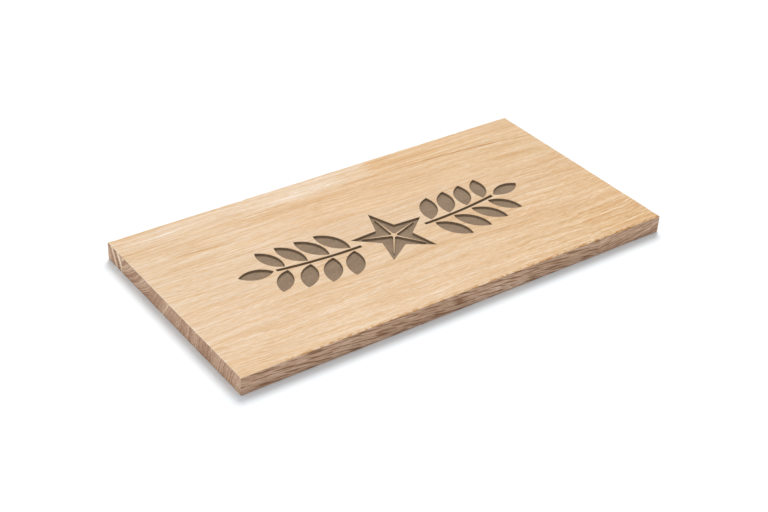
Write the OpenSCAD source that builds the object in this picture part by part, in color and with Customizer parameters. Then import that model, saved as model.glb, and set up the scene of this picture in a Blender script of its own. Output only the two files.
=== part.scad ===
// Engraved wooden wall plaque: an edge-glued oak board with a recessed laurel and star on its
// face, a brown fill on the floor of the recess, and two flush keyhole plates let into its back.
// The origin is at the centre of the back face. +X runs along the grain and the long side,
// +Y is up when the plaque hangs, and +Z is out of the engraved face.

/* [Board] */
// Length, along the grain
board_l = 300; // [240:5:420]
// Width, across the grain
board_w = 150; // [130:2:200]
// Thickness after sanding
board_t = 11.5; // [10:0.5:20]
// Chamfer around the outer edges
edge_ease = 0.4; // [0.2:0.1:1]

/* [Staves] */
// Width of the top row, as a share of the board
top_row = 0.115; // [0.10:0.005:0.16]
// Width of the bottom row, as a share of the board
bottom_row = 0.205; // [0.18:0.005:0.24]
// Finger joint in the top row, as a share of the length from the left
top_joint = 0.597; // [0.3:0.01:0.8]
// Finger joint in the bottom row, as a share of the length from the left
bottom_joint = 0.847; // [0.3:0.01:0.88]
// Length of a finger
finger_l = 8; // [5:0.5:12]
// Aimed pitch of the fingers
finger_pitch = 3.8; // [3.2:0.1:6]
// Width of the flat on a fingertip
finger_tip = 0.6; // [0.3:0.1:1]

/* [Engraving] */
// Depth of the recess below the face
recess_depth = 2.0; // [1.5:0.1:2.8]
// Thickness of the fill on the recess floor
fill_t = 0.5; // [0.3:0.1:1]
// Centre of the ornament along the length
orn_x = -3; // [-10:0.5:10]
// Centre of the ornament across the width
orn_y = -3.5; // [-8:0.5:4]
// Point radius of the star
star_r = 27; // [18:0.5:28]
// Leaf pairs on each branch
leaf_pairs = 4; // [3:1:4]
// Length of the largest leaf
leaf_l = 25; // [16:0.5:26]
// Width of the largest leaf
leaf_w = 11.2; // [7:0.2:11.4]
// Angle between a leaf and the stem
leaf_angle = 60; // [50:1:65]
// Width of the stem
stem_w = 2.2; // [1.6:0.1:2.8]

/* [Hanger plates] */
// Distance between the two keyholes
hang_spacing = 200; // [120:5:200]
// Length of a plate
plate_l = 36; // [34:1:44]
// Width of a plate
plate_w = 20; // [20:0.5:22]
// Thickness of the sheet
plate_t = 1.5; // [1.2:0.1:2]
// Depth of the plate's outer face below the back of the board
plate_sink = 0.2; // [0.1:0.1:0.4]
// Radius of the entry hole
entry_r = 4.5; // [4.5:0.1:5]
// Width of the slot for the wall screw's shank
slot_w = 5; // [4.4:0.1:5.4]
// Travel from the entry hole to the seat at the end of the slot
slot_travel = 8; // [7:0.1:8.2]
// Depth of the pocket for the wall screw's head
pocket_depth = 6.5; // [5.5:0.1:7]

/* [Hidden] */
$fn = 64;

// Seams between the rows, from the bottom edge up.
y_edge = board_w / 2;
y_top = y_edge - top_row * board_w;
y_bottom = -y_edge + bottom_row * board_w;
row_w = (y_top - y_bottom) / 3;
seams = [-y_edge, y_bottom, y_bottom + row_w, y_bottom + 2 * row_w, y_top, y_edge];

// Where the plates sit: along the middle of the upper stave.
hang_y = (seams[3] + seams[4]) / 2;
entry_y = -slot_travel / 2 + 0.5;
seat_y = entry_y + slot_travel;
screw_x = plate_l / 2 - 5.5;
plate_gap = 0.15;
z_plate = plate_sink + plate_t;

// Countersunk screw, 2.5 x 8: head radius, shank radius, core radius, length, thread pitch.
head_r = 3;
shank_r = 1.25;
core_r = 0.9;
screw_l = 8;
pitch = 1;
threads = 5;

wood = [0.90, 0.78, 0.62];
wood_pale = [0.93, 0.82, 0.67];
wood_warm = [0.86, 0.71, 0.53];
fill_brown = [0.58, 0.48, 0.39];
zinc = [0.72, 0.73, 0.74];

// ---- the board ----

// The zigzag of a finger joint at x, from the lower to the upper edge of a row.
function fingers(x, y0, y1) =
    let (n = max(2, round((y1 - y0) / finger_pitch)), p = (y1 - y0) / n, t = finger_tip / 2,
         a = x - finger_l / 2, b = x + finger_l / 2)
    concat(
        [[a, y0]],
        [for (k = [0:n - 1]) each [
            [a, y0 + k * p + t], [b, y0 + (k + 0.5) * p - t],
            [b, y0 + (k + 0.5) * p + t], [a, y0 + (k + 1) * p - t]]],
        [[a, y1]]);

function turned(points) = [for (k = [len(points) - 1:-1:0]) points[k]];

function joint_x(share) = (share - 0.5) * board_l;

// The whole board with its eased edges: two chamfered bars crossed.
module blank() {
    intersection() {
        rotate([90, 0, 90])
            translate([0, 0, -board_l / 2 - 1])
                linear_extrude(board_l + 2) eased(board_w);
        rotate([90, 0, 0])
            translate([0, 0, -board_w / 2 - 1])
                linear_extrude(board_w + 2) eased(board_l);
    }
}

module eased(w) {
    c = edge_ease;
    polygon([[-w / 2 + c, 0], [w / 2 - c, 0], [w / 2, c], [w / 2, board_t - c],
             [w / 2 - c, board_t], [-w / 2 + c, board_t], [-w / 2, board_t - c], [-w / 2, c]]);
}

// One stave of the given outline, still without its pockets.
module stave(points) {
    intersection() {
        blank();
        translate([0, 0, -1]) linear_extrude(board_t + 2) polygon(points);
    }
}

module full_row(i) {
    stave([[-board_l / 2 - 2, seams[i]], [board_l / 2 + 2, seams[i]],
           [board_l / 2 + 2, seams[i + 1]], [-board_l / 2 - 2, seams[i + 1]]]);
}

module left_row(i, share) {
    joint = fingers(joint_x(share), seams[i], seams[i + 1]);
    stave(concat([[-board_l / 2 - 2, seams[i]]], joint, [[-board_l / 2 - 2, seams[i + 1]]]));
}

module right_row(i, share) {
    joint = fingers(joint_x(share), seams[i], seams[i + 1]);
    stave(concat([[board_l / 2 + 2, seams[i]], [board_l / 2 + 2, seams[i + 1]]], turned(joint)));
}

// ---- the engraving ----

module leaf(l, w) {
    r = (l * l + w * w) / (4 * w);
    intersection() {
        translate([l / 2, r - w / 2]) circle(r = r);
        translate([l / 2, -r + w / 2]) circle(r = r);
    }
}

// A branch that grows along +X and rises slightly towards its tip. Its stem is an arc.
branch_x0 = 25.5;
branch_l = 58;
arc_r = 320;
foot_y = -2.2;
function stem_at(t) = [branch_x0 + branch_l * t, foot_y + arc_r - sqrt(arc_r * arc_r - pow(branch_l * t, 2))];
function stem_slope(t) = asin(branch_l * t / arc_r);
function leaf_scale(i) = 1 - 0.12 * pow(i / (leaf_pairs - 1), 2);

module branch() {
    for (i = [0:leaf_pairs - 1]) {
        t = (i + 0.22) / leaf_pairs;
        s = leaf_scale(i);
        for (side = [-1, 1])
            translate(stem_at(t))
                rotate(stem_slope(t) + side * leaf_angle)
                    translate([2.2, 0]) leaf(leaf_l * s, leaf_w * s);
    }
    translate(stem_at(1)) rotate(stem_slope(1)) translate([-2.6, 0]) leaf(leaf_l * 0.86, leaf_w * 0.9);
    // The stem, as a strip between two arcs.
    intersection() {
        translate([branch_x0, foot_y + arc_r])
            difference() {
                circle(r = arc_r + stem_w / 2, $fn = 360);
                circle(r = arc_r - stem_w / 2, $fn = 360);
            }
        translate([branch_x0 - 2, -12]) square([branch_l - 2.2, 24]);
    }
}

module star() {
    translate([0, -0.095 * star_r])
        difference() {
            polygon([for (k = [0:9]) let (r = k % 2 == 0 ? star_r : 0.43 * star_r)
                [r * sin(36 * k), r * cos(36 * k)]]);
            // Uncut ridges from the middle towards the points.
            for (k = [0:4])
                rotate(-72 * k)
                    polygon([[-0.55, 1.2], [0.55, 1.2], [0.12, 0.74 * star_r], [-0.12, 0.74 * star_r]]);
            circle(r = 1.9);
        }
}

module ornament() {
    translate([orn_x, orn_y]) {
        star();
        branch();
        mirror([1, 0]) branch();
    }
}

module recess() {
    translate([0, 0, board_t - recess_depth]) linear_extrude(recess_depth + 1) ornament();
}

// ---- the hanger plates ----

module plate_outline(grow = 0) {
    hull_r = 3 + grow;
    x = plate_l / 2 - 3;
    y = plate_w / 2 - 3;
    for (sx = [-1, 1], sy = [-1, 1]) translate([sx * x, sy * y]) circle(r = hull_r);
    square([2 * (x + hull_r), 2 * y], center = true);
    square([2 * x, 2 * (y + hull_r)], center = true);
}

module keyhole() {
    translate([0, entry_y]) circle(r = entry_r);
    translate([0, seat_y]) circle(r = slot_w / 2);
    translate([-slot_w / 2, entry_y]) square([slot_w, slot_travel]);
}

module head_pocket() {
    r = entry_r + 0.5;
    translate([0, entry_y]) circle(r = r);
    translate([0, seat_y]) circle(r = r);
    translate([-r, entry_y]) square([2 * r, slot_travel]);
}

module plate() {
    translate([0, 0, plate_sink])
        difference() {
            linear_extrude(plate_t) plate_outline();
            translate([0, 0, -1]) linear_extrude(plate_t + 2) keyhole();
            for (s = [-1, 1]) translate([s * screw_x, 0, 0]) {
                translate([0, 0, -1]) cylinder(h = plate_t + 2, r = head_r - plate_t);
                cylinder(h = plate_t, r1 = head_r, r2 = head_r - plate_t);
            }
        }
}

// The body of a screw, tip up, with its head's face on the plate's outer face.
module screw_body() {
    translate([0, 0, plate_sink])
        rotate_extrude()
            polygon(concat(
                [[0, 0], [head_r, 0], [head_r - plate_t, plate_t], [shank_r, plate_t], [shank_r, plate_t + 0.6]],
                [for (k = [0:threads - 1]) each [
                    [core_r, plate_t + 0.6 + (k + 0.35) * pitch - 0.2],
                    [core_r, plate_t + 0.6 + (k + 0.35) * pitch + 0.15],
                    [shank_r, plate_t + 0.6 + (k + 0.9) * pitch]]],
                [[0, screw_l]]));
}

module screw() {
    difference() {
        screw_body();
        for (a = [45, 135])
            translate([0, 0, plate_sink]) rotate(a) cube([0.62, 2.9, 1.8], center = true);
    }
}

module at_plates() {
    for (s = [-1, 1]) translate([s * hang_spacing / 2, hang_y, 0]) children();
}

module at_screws() {
    for (s = [-1, 1]) translate([s * screw_x, 0, 0]) children();
}

// What the plates, the wall screws' heads and the plates' own screws take out of the wood.
module hanger_pockets() {
    at_plates() {
        translate([0, 0, -1]) linear_extrude(1 + z_plate) plate_outline(plate_gap);
        linear_extrude(pocket_depth) head_pocket();
        at_screws() screw_body();
    }
}

// ---- the nodes ----

module top_stave_left() { color(wood_pale) left_row(4, top_joint); }
module top_stave_right() { color(wood_warm) right_row(4, top_joint); }
module upper_stave() { color(wood) difference() { full_row(3); hanger_pockets(); } }
module middle_stave() { color(wood_pale) difference() { full_row(2); recess(); } }
module lower_stave() { color(wood) difference() { full_row(1); recess(); } }
module bottom_stave_left() { color(wood_pale) left_row(0, bottom_joint); }
module bottom_stave_right() { color(wood_warm) right_row(0, bottom_joint); }
module engraving_fill() {
    color(fill_brown) translate([0, 0, board_t - recess_depth]) linear_extrude(fill_t) ornament();
}
module hanger_plate_left() { color(zinc) translate([-hang_spacing / 2, hang_y, 0]) plate(); }
module hanger_plate_right() { color(zinc) translate([hang_spacing / 2, hang_y, 0]) plate(); }
module hanger_screws() { color(zinc) at_plates() at_screws() screw(); }

top_stave_left();
top_stave_right();
upper_stave();
middle_stave();
lower_stave();
bottom_stave_left();
bottom_stave_right();
engraving_fill();
hanger_plate_left();
hanger_plate_right();
hanger_screws();
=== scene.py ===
import math

import bmesh
import bpy
import numpy as np
from mathutils import Matrix, Vector
from mathutils.geometry import delaunay_2d_cdt
from mathutils.kdtree import KDTree


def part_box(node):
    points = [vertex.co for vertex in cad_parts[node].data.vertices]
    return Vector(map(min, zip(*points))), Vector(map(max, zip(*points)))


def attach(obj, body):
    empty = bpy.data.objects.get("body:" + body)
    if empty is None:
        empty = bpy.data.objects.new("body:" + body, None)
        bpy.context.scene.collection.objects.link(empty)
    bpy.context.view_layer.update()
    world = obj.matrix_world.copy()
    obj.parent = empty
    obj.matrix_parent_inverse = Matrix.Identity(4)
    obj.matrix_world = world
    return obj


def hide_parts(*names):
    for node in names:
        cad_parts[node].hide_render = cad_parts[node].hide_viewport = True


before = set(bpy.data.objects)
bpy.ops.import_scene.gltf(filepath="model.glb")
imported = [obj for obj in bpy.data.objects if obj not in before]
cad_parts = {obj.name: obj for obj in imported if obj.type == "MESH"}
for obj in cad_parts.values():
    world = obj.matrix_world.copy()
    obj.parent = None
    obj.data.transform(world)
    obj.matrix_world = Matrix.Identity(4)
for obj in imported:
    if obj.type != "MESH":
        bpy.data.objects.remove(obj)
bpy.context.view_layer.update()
MM = 0.001

# ------------------------------------------------------------------ sizes, in millimetres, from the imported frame


def mmbox(node):
    lo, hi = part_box(node)
    return [c / MM for c in lo], [c / MM for c in hi]


HALF_L = mmbox("lower_stave")[1][0]
HALF_W = mmbox("top_stave_left")[1][1]
T = mmbox("lower_stave")[1][2]
ROWS = ["bottom_stave_left", "lower_stave", "middle_stave", "upper_stave", "top_stave_left"]
SEAMS = [-HALF_W] + [mmbox(n)[1][1] for n in ROWS[:-1]] + [HALF_W]
TOP_JOINT = (mmbox("top_stave_left")[1][0] + mmbox("top_stave_right")[0][0]) / 2
BOTTOM_JOINT = (mmbox("bottom_stave_left")[1][0] + mmbox("bottom_stave_right")[0][0]) / 2
FINGER_L, FINGER_PITCH, FINGER_TIP = 8.0, 3.8, 0.6
Z_FLOOR = mmbox("engraving_fill")[0][2]
Z_FILL = mmbox("engraving_fill")[1][2]
EASE = 0.4
STAVES = ["bottom_stave_left", "bottom_stave_right", "lower_stave", "middle_stave", "upper_stave", "top_stave_left", "top_stave_right"]

# ------------------------------------------------------------------ the ornament, the same rules as in the CAD source

ORN = (-3.0, -3.5)
STAR_R, LEAF_PAIRS, LEAF_L, LEAF_W, LEAF_ANGLE, STEM_W = 27.0, 4, 25.0, 11.2, 60.0, 2.2
BRANCH_X0, BRANCH_L, ARC_R, FOOT_Y = 25.5, 58.0, 320.0, -2.2


def turn(points, degrees, at=(0.0, 0.0)):
    a = math.radians(degrees)
    c, s = math.cos(a), math.sin(a)
    p = np.asarray(points, float)
    return np.stack([p[:, 0] * c - p[:, 1] * s + at[0], p[:, 0] * s + p[:, 1] * c + at[1]], 1)


def segment(a, b, step=0.9):
    n = max(1, int(math.ceil(math.dist(a, b) / step)))
    return [(a[0] + (b[0] - a[0]) * k / n, a[1] + (b[1] - a[1]) * k / n) for k in range(n)]


def closed(corners, step=0.9):
    out = []
    for k in range(len(corners)):
        out += segment(corners[k], corners[(k + 1) % len(corners)], step)
    return np.array(out)


def inside(poly, pts):
    """Which of pts lie inside the closed polygon, by the even-odd rule."""
    x, y = pts[:, 0], pts[:, 1]
    hit = np.zeros(len(pts), bool)
    n = len(poly)
    for k in range(n):
        x0, y0 = poly[k]
        x1, y1 = poly[(k + 1) % n]
        if y0 == y1:
            continue
        cross = (y0 > y) != (y1 > y)
        hit ^= cross & (x < (x1 - x0) * (y - y0) / (y1 - y0) + x0)
    return hit


def leaf_shapes(l, w):
    r = (l * l + w * w) / (4 * w)
    half = math.asin(l / 2 / r)
    n = 30
    upper = [(l / 2 + r * math.sin(-half + 2 * half * k / n), w / 2 - r + r * math.cos(-half + 2 * half * k / n)) for k in range(n)]
    lower = [(l / 2 + r * math.sin(half - 2 * half * k / n), -(w / 2 - r + r * math.cos(half - 2 * half * k / n))) for k in range(n)]
    return [(np.array(upper + lower), 1)]


def stem_at(t):
    return (BRANCH_X0 + BRANCH_L * t, FOOT_Y + ARC_R - math.sqrt(ARC_R ** 2 - (BRANCH_L * t) ** 2))


def stem_slope(t):
    return math.degrees(math.asin(BRANCH_L * t / ARC_R))


def branch_shapes():
    """Groups of (outline, sign): a group is its positive outlines less its negative ones."""
    groups = []
    for i in range(LEAF_PAIRS):
        t = (i + 0.22) / LEAF_PAIRS
        s = 1 - 0.12 * (i / (LEAF_PAIRS - 1)) ** 2
        for side in (-1, 1):
            a = stem_slope(t) + side * LEAF_ANGLE
            groups.append([(turn(p + np.array([2.2, 0]), a, stem_at(t)), sign) for p, sign in leaf_shapes(LEAF_L * s, LEAF_W * s)])
    groups.append([(turn(p + np.array([-2.6, 0]), stem_slope(1), stem_at(1)), sign) for p, sign in leaf_shapes(LEAF_L * 0.86, LEAF_W * 0.9)])
    x0, x1 = BRANCH_X0 - 2, BRANCH_X0 - 2 + BRANCH_L - 2.2
    cy = FOOT_Y + ARC_R
    n = 70
    xs = [x0 + (x1 - x0) * k / n for k in range(n + 1)]
    low = [(x, cy - math.sqrt((ARC_R + STEM_W / 2) ** 2 - (x - BRANCH_X0) ** 2)) for x in xs]
    high = [(x, cy - math.sqrt((ARC_R - STEM_W / 2) ** 2 - (x - BRANCH_X0) ** 2)) for x in xs]
    ends = segment(low[-1], high[-1], 0.6)[1:], segment(high[0], low[0], 0.6)[1:]
    groups.append([(np.array(low + ends[0] + high[::-1] + ends[1]), 1)])
    return groups


def star_shapes():
    dy = -0.095 * STAR_R
    pts = []
    for k in range(10):
        r = STAR_R if k % 2 == 0 else 0.43 * STAR_R
        pts.append((r * math.sin(math.radians(36 * k)), r * math.cos(math.radians(36 * k))))
    shapes = [(closed(pts), 1)]
    for k in range(5):
        shapes.append((turn(closed([(-0.55, 1.2), (0.55, 1.2), (0.12, 0.74 * STAR_R), (-0.12, 0.74 * STAR_R)]), -72 * k), -1))
    shapes.append((np.array([(1.9 * math.cos(math.radians(15 * k)), 1.9 * math.sin(math.radians(15 * k))) for k in range(24)]), -1))
    return [[(p + np.array([0, dy]), sign) for p, sign in shapes]]


right = branch_shapes()
left = [[(p[::-1] * np.array([-1, 1]), sign) for p, sign in g] for g in right]
GROUPS = [[(p + np.array(ORN), sign) for p, sign in g] for g in star_shapes() + right + left]


def in_ornament(pts):
    pts = np.asarray(pts, float)
    hit = np.zeros(len(pts), bool)
    for g in GROUPS:
        box = np.concatenate([p for p, sign in g if sign > 0])
        near = np.all((pts > box.min(0) - 0.1) & (pts < box.max(0) + 0.1), axis=1)
        if not near.any():
            continue
        q = pts[near]
        got = np.zeros(len(q), bool)
        for p, sign in g:
            if sign > 0:
                got |= inside(p, q)
        for p, sign in g:
            if sign < 0:
                got &= ~inside(p, q)
        hit[near] |= got
    return hit


# ------------------------------------------------------------------ plane triangulation


def cdt(points, edges, eps=1e-5):
    """Constrained Delaunay: vertices, counter-clockwise triangles, and for each output vertex the input ones it stands for."""
    v, e, f, ov, oe, of = delaunay_2d_cdt([Vector((float(p[0]), float(p[1]))) for p in points], [tuple(map(int, x)) for x in edges], [], 0, eps, True)
    v = np.array([(p.x, p.y) for p in v], float)
    tris = []
    for face in f:
        for k in range(1, len(face) - 1):
            t = (face[0], face[k], face[k + 1])
            a, b, c = v[t[0]], v[t[1]], v[t[2]]
            area = (b[0] - a[0]) * (c[1] - a[1]) - (b[1] - a[1]) * (c[0] - a[0])
            tris.append(t if area > 0 else (t[0], t[2], t[1]))
    return v, np.array(tris, int), ov


def loop_edges(first, count):
    return [(first + k, first + (k + 1) % count) for k in range(count)]


def ornament_boundary():
    """The exact outline of the recess, as points and edges, from one triangulation of every outline."""
    pts, edges = [], []
    for g in GROUPS:
        for p, sign in g:
            edges += loop_edges(len(pts), len(p))
            pts += [tuple(x) for x in p]
    v, tris, _ = cdt(pts, edges, 0.02)
    flag = in_ornament(v[tris].mean(1))
    seen = {}
    for t, hit in zip(tris, flag):
        for k in range(3):
            a, b = int(t[k]), int(t[(k + 1) % 3])
            seen.setdefault((min(a, b), max(a, b)), []).append((bool(hit), (a, b)))
    keep = []
    for key, uses in seen.items():
        flags = [u[0] for u in uses] + ([False] if len(uses) == 1 else [])
        if flags[0] != flags[1]:
            keep.append([u[1] for u in uses if u[0]][0])  # the recess lies on the left of a to b
    used = sorted({k for e in keep for k in e})
    index = {u: k for k, u in enumerate(used)}
    return v[used], np.array([(index[a], index[b]) for a, b in keep], int)


OUT_P, OUT_E = ornament_boundary()


TREE = KDTree(len(OUT_E))
for k, (a, b) in enumerate(OUT_E):
    TREE.insert((*((OUT_P[a] + OUT_P[b]) / 2), 0.0), k)
TREE.balance()


def distance_to(points):
    """Least distance from each point to the outline's segments: exact for the ten whose middles are nearest."""
    q = np.asarray(points, float)
    near = np.array([[hit[1] for hit in TREE.find_n((x, y, 0.0), 10)] for x, y in q]).reshape(len(q), -1)
    if not len(q):
        return np.zeros(0)
    a, b = OUT_P[OUT_E[near][..., 0]], OUT_P[OUT_E[near][..., 1]]
    d = b - a
    t = np.clip(((q[:, None] - a) * d).sum(2) / np.maximum((d * d).sum(2), 1e-12), 0, 1)
    return np.sqrt((((a + t[..., None] * d) - q[:, None]) ** 2).sum(2).min(1))


def rings(offsets, side):
    """Points at the given distances from the outline, on the recess side (+1) or the wood side (-1)."""
    a, b = OUT_P[OUT_E[:, 0]], OUT_P[OUT_E[:, 1]]
    d = (b - a) / np.maximum(np.linalg.norm(b - a, axis=1, keepdims=True), 1e-9)
    n = np.stack([-d[:, 1], d[:, 0]], 1) * side
    long = np.linalg.norm(b - a, axis=1) > 0.15
    found = []
    for o in offsets:
        for share in (0.0, 0.5):
            q = (a + (b - a) * (share + 0.25) + n * o)[long]
            q = q[distance_to(q) > 0.93 * o]
            q = q[in_ornament(q) == (side > 0)]
            # thin out what crowds together
            kept, cells = [], {}
            for pt in q:
                c = (round(pt[0] / 0.28), round(pt[1] / 0.28))
                if any((c[0] + i, c[1] + j) in cells and np.hypot(*(cells[(c[0] + i, c[1] + j)] - pt)) < 0.22 for i in (-1, 0, 1) for j in (-1, 0, 1)):
                    continue
                cells[c] = pt
                kept.append(pt)
            found.append(np.array(kept).reshape(-1, 2))
    return found


# ------------------------------------------------------------------ edges of the board

rng = np.random.default_rng(41)


def wander(length, step, seed):
    """A smooth random line of values about 0, for positions 0..length."""
    g = np.random.default_rng(seed)
    n = int(length / step) + 3
    v = g.normal(size=n)
    return lambda s: np.interp(s, np.arange(n) * step, v)


def chips(length, count, seed):
    g = np.random.default_rng(seed)
    at, size, width = g.uniform(4, length - 4, count), g.uniform(0.12, 0.5, count), g.uniform(0.5, 1.6, count)
    return lambda s: (size[None] * np.exp(-((np.asarray(s, float)[:, None] - at[None]) / width[None]) ** 2)).sum(1)


SIDES = {}
for k, (name, length) in enumerate((("front", 2 * HALF_L), ("right", 2 * HALF_W), ("back", 2 * HALF_L), ("left", 2 * HALF_W))):
    SIDES[name] = (length, wander(length, 2.3, 100 + k), wander(length, 9.0, 200 + k), chips(length, 16 if length > 200 else 9, 300 + k))


def ease_at(side, s, bottom=False):
    """Radius of the eased edge at s along a side, from its start."""
    length, fine, slow, chip = SIDES[side]
    s = np.atleast_1d(np.asarray(s, float))
    if bottom:
        e = EASE + 0.04 * slow(s)
    else:
        e = 0.36 + 0.05 * fine(s) + 0.07 * slow(s) + chip(s)
    near = np.clip(np.minimum(s, length - s) / 3.0, 0, 1)
    e = EASE + (e - EASE) * near
    return np.clip(e, 0.16, 1.1)


def zigzag(x, y0, y1):
    n = max(2, round((y1 - y0) / FINGER_PITCH))
    p, t = (y1 - y0) / n, FINGER_TIP / 2
    a, b = x - FINGER_L / 2, x + FINGER_L / 2
    out = [(a, y0)]
    for k in range(n):
        out += [(a, y0 + k * p + t), (b, y0 + (k + 0.5) * p - t), (b, y0 + (k + 0.5) * p + t), (a, y0 + (k + 1) * p - t)]
    return out + [(a, y1)]


# The outermost finger runs into the eased edge of the board, so its root is one point there.
ZIG_BOTTOM = zigzag(BOTTOM_JOINT, SEAMS[0], SEAMS[1])
ZIG_BOTTOM = [(ZIG_BOTTOM[0][0], SEAMS[0] + EASE)] + ZIG_BOTTOM[2:]
ZIG_TOP = zigzag(TOP_JOINT, SEAMS[4], SEAMS[5])
ZIG_TOP = ZIG_TOP[:-2] + [(ZIG_TOP[-1][0], SEAMS[5] - EASE)]


def stave_of(pts):
    """The stave that each point belongs to, as its place in STAVES."""
    x, y = pts[:, 0], pts[:, 1]
    row = np.searchsorted(np.array(SEAMS[1:-1]), y)
    zb = np.interp(y, [q[1] for q in ZIG_BOTTOM], [q[0] for q in ZIG_BOTTOM])
    zt = np.interp(y, [q[1] for q in ZIG_TOP], [q[0] for q in ZIG_TOP])
    out = np.choose(row, [0, 2, 3, 4, 5])
    out = np.where((row == 0) & (x > zb), 1, out)
    return np.where((row == 4) & (x > zt), 6, out)


# The outline, counter-clockwise from the front left corner: nominal point, inward direction, side.
def outline():
    out = []

    def run(side, start, end, extra, axis):
        length = abs(end - start)
        n = int(round(length / 1.2))
        at = sorted(set([round(start + (end - start) * k / n, 6) for k in range(1, n)]), reverse=end < start)
        for e in extra:
            at = [q for q in at if abs(q - e) > 0.35] + [e]
        return sorted(at, reverse=end < start)

    out.append((-HALF_L, -HALF_W, 1, 1, "corner", 0.0))
    for x in run("front", -HALF_L, HALF_L, [BOTTOM_JOINT - FINGER_L / 2], 0):
        out.append((x, -HALF_W, 0, 1, "front", x + HALF_L))
    out.append((HALF_L, -HALF_W, -1, 1, "corner", 0.0))
    for y in run("right", -HALF_W, HALF_W, SEAMS[1:-1], 1):
        out.append((HALF_L, y, -1, 0, "right", y + HALF_W))
    out.append((HALF_L, HALF_W, -1, -1, "corner", 0.0))
    for x in run("back", HALF_L, -HALF_L, [TOP_JOINT - FINGER_L / 2], 0):
        out.append((x, HALF_W, 0, -1, "back", HALF_L - x))
    out.append((-HALF_L, HALF_W, 1, -1, "corner", 0.0))
    for y in run("left", HALF_W, -HALF_W, SEAMS[1:-1], 1):
        out.append((-HALF_L, y, 1, 0, "left", HALF_W - y))
    return out


OUTLINE = outline()
E_TOP = np.array([EASE if o[4] == "corner" else float(ease_at(o[4], o[5])[0]) for o in OUTLINE])
E_BOT = np.array([EASE if o[4] == "corner" else float(ease_at(o[4], o[5], True)[0]) for o in OUTLINE])


for q in (BOTTOM_JOINT, TOP_JOINT):
    for k, o in enumerate(OUTLINE):
        if o[4] in ("front", "back") and abs(o[0] - (q - FINGER_L / 2)) < 0.01 and (o[4] == "front") == (q == BOTTOM_JOINT):
            E_TOP[k] = E_BOT[k] = EASE


def outline_xy(e):
    return np.array([(o[0] + o[2] * x, o[1] + o[3] * x) for o, x in zip(OUTLINE, e)])


def find_outline(x, y):
    return min(range(len(OUTLINE)), key=lambda k: (OUTLINE[k][0] - x) ** 2 + (OUTLINE[k][1] - y) ** 2)


SEAM_ENDS = [(find_outline(-HALF_L, y), find_outline(HALF_L, y)) for y in SEAMS[1:-1]]
JOINT_ENDS = (find_outline(BOTTOM_JOINT - FINGER_L / 2, -HALF_W), find_outline(TOP_JOINT - FINGER_L / 2, HALF_W))

def within_outline(tris, orig):
    """The triangles on the inner side of the outline, whose points are the first n_out input points."""
    at = {}
    for k, o in enumerate(orig):
        for q in o:
            if q < n_out:
                at[q] = k
    ring = {(at[k], at[(k + 1) % n_out]) for k in range(n_out)}
    edge = {}
    for k, t in enumerate(tris):
        for j in range(3):
            edge[(int(t[j]), int(t[(j + 1) % 3]))] = k
    todo = [k for (a, b), k in edge.items() if (b, a) in ring]
    out = set(todo)
    while todo:
        t = tris[todo.pop()]
        for j in range(3):
            a, b = int(t[j]), int(t[(j + 1) % 3])
            other = edge.get((b, a))
            if other is not None and other not in out and (a, b) not in ring and (b, a) not in ring:
                out.add(other)
                todo.append(other)
    return tris[[k for k in range(len(tris)) if k not in out]]


# ------------------------------------------------------------------ triangulation of the face

top_in = [tuple(p) for p in outline_xy(E_TOP)]
n_out = len(top_in)
top_edges = loop_edges(0, n_out)


def add_points(store, pts):
    first = len(store)
    store += [tuple(map(float, p)) for p in pts]
    return list(range(first, first + len(pts)))


corner_bottom = add_points(top_in, [(BOTTOM_JOINT - FINGER_L / 2, SEAMS[1])])[0]
corner_top = add_points(top_in, [(TOP_JOINT - FINGER_L / 2, SEAMS[4])])[0]
for k, (a, b) in enumerate(SEAM_ENDS):
    chain = [a] + ([corner_bottom] if k == 0 else []) + ([corner_top] if k == 3 else []) + [b]
    top_edges += list(zip(chain[:-1], chain[1:]))
mid = add_points(top_in, ZIG_BOTTOM[1:-1])
chain = [JOINT_ENDS[0]] + mid + [corner_bottom]
top_edges += list(zip(chain[:-1], chain[1:]))
mid = add_points(top_in, ZIG_TOP[1:-1])
chain = [corner_top] + mid + [JOINT_ENDS[1]]
top_edges += list(zip(chain[:-1], chain[1:]))
first = len(top_in)
add_points(top_in, OUT_P)
top_edges += [(first + int(a), first + int(b)) for a, b in OUT_E]
RIM = (0.13, 0.32)
rim_rings = rings(RIM, -1)
for r in rim_rings:
    add_points(top_in, r)

TV, TF, t_orig = cdt(top_in, top_edges)
TF = within_outline(TF, t_orig)
t_stave = stave_of(TV[TF].mean(1))
t_recess = in_ornament(TV[TF].mean(1))
t_outer = {}  # output vertex -> place in the outline
for k, o in enumerate(t_orig):
    for q in o:
        if q < n_out:
            t_outer[k] = q
on_line = distance_to(TV) < 0.004
d_line = distance_to(TV)
rim_drop = np.where(d_line < 0.02, 0.15, 0.15 * np.clip(1 - d_line / (RIM[1] * 0.95), 0, 1) ** 2.2)


def directed(tris):
    found = {}
    for k, t in enumerate(tris):
        for j in range(3):
            found[(int(t[j]), int(t[(j + 1) % 3]))] = k
    return found


T_EDGE = directed(TF)
# Seam edges: two triangles of different staves.
seam_edges = [(a, b) for (a, b), k in T_EDGE.items() if (b, a) in T_EDGE and t_stave[k] != t_stave[T_EDGE[(b, a)]]]
seam_verts = sorted({v for e in seam_edges for v in e if v not in t_outer})

# ------------------------------------------------------------------ the back, with the pockets for the hangers

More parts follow.
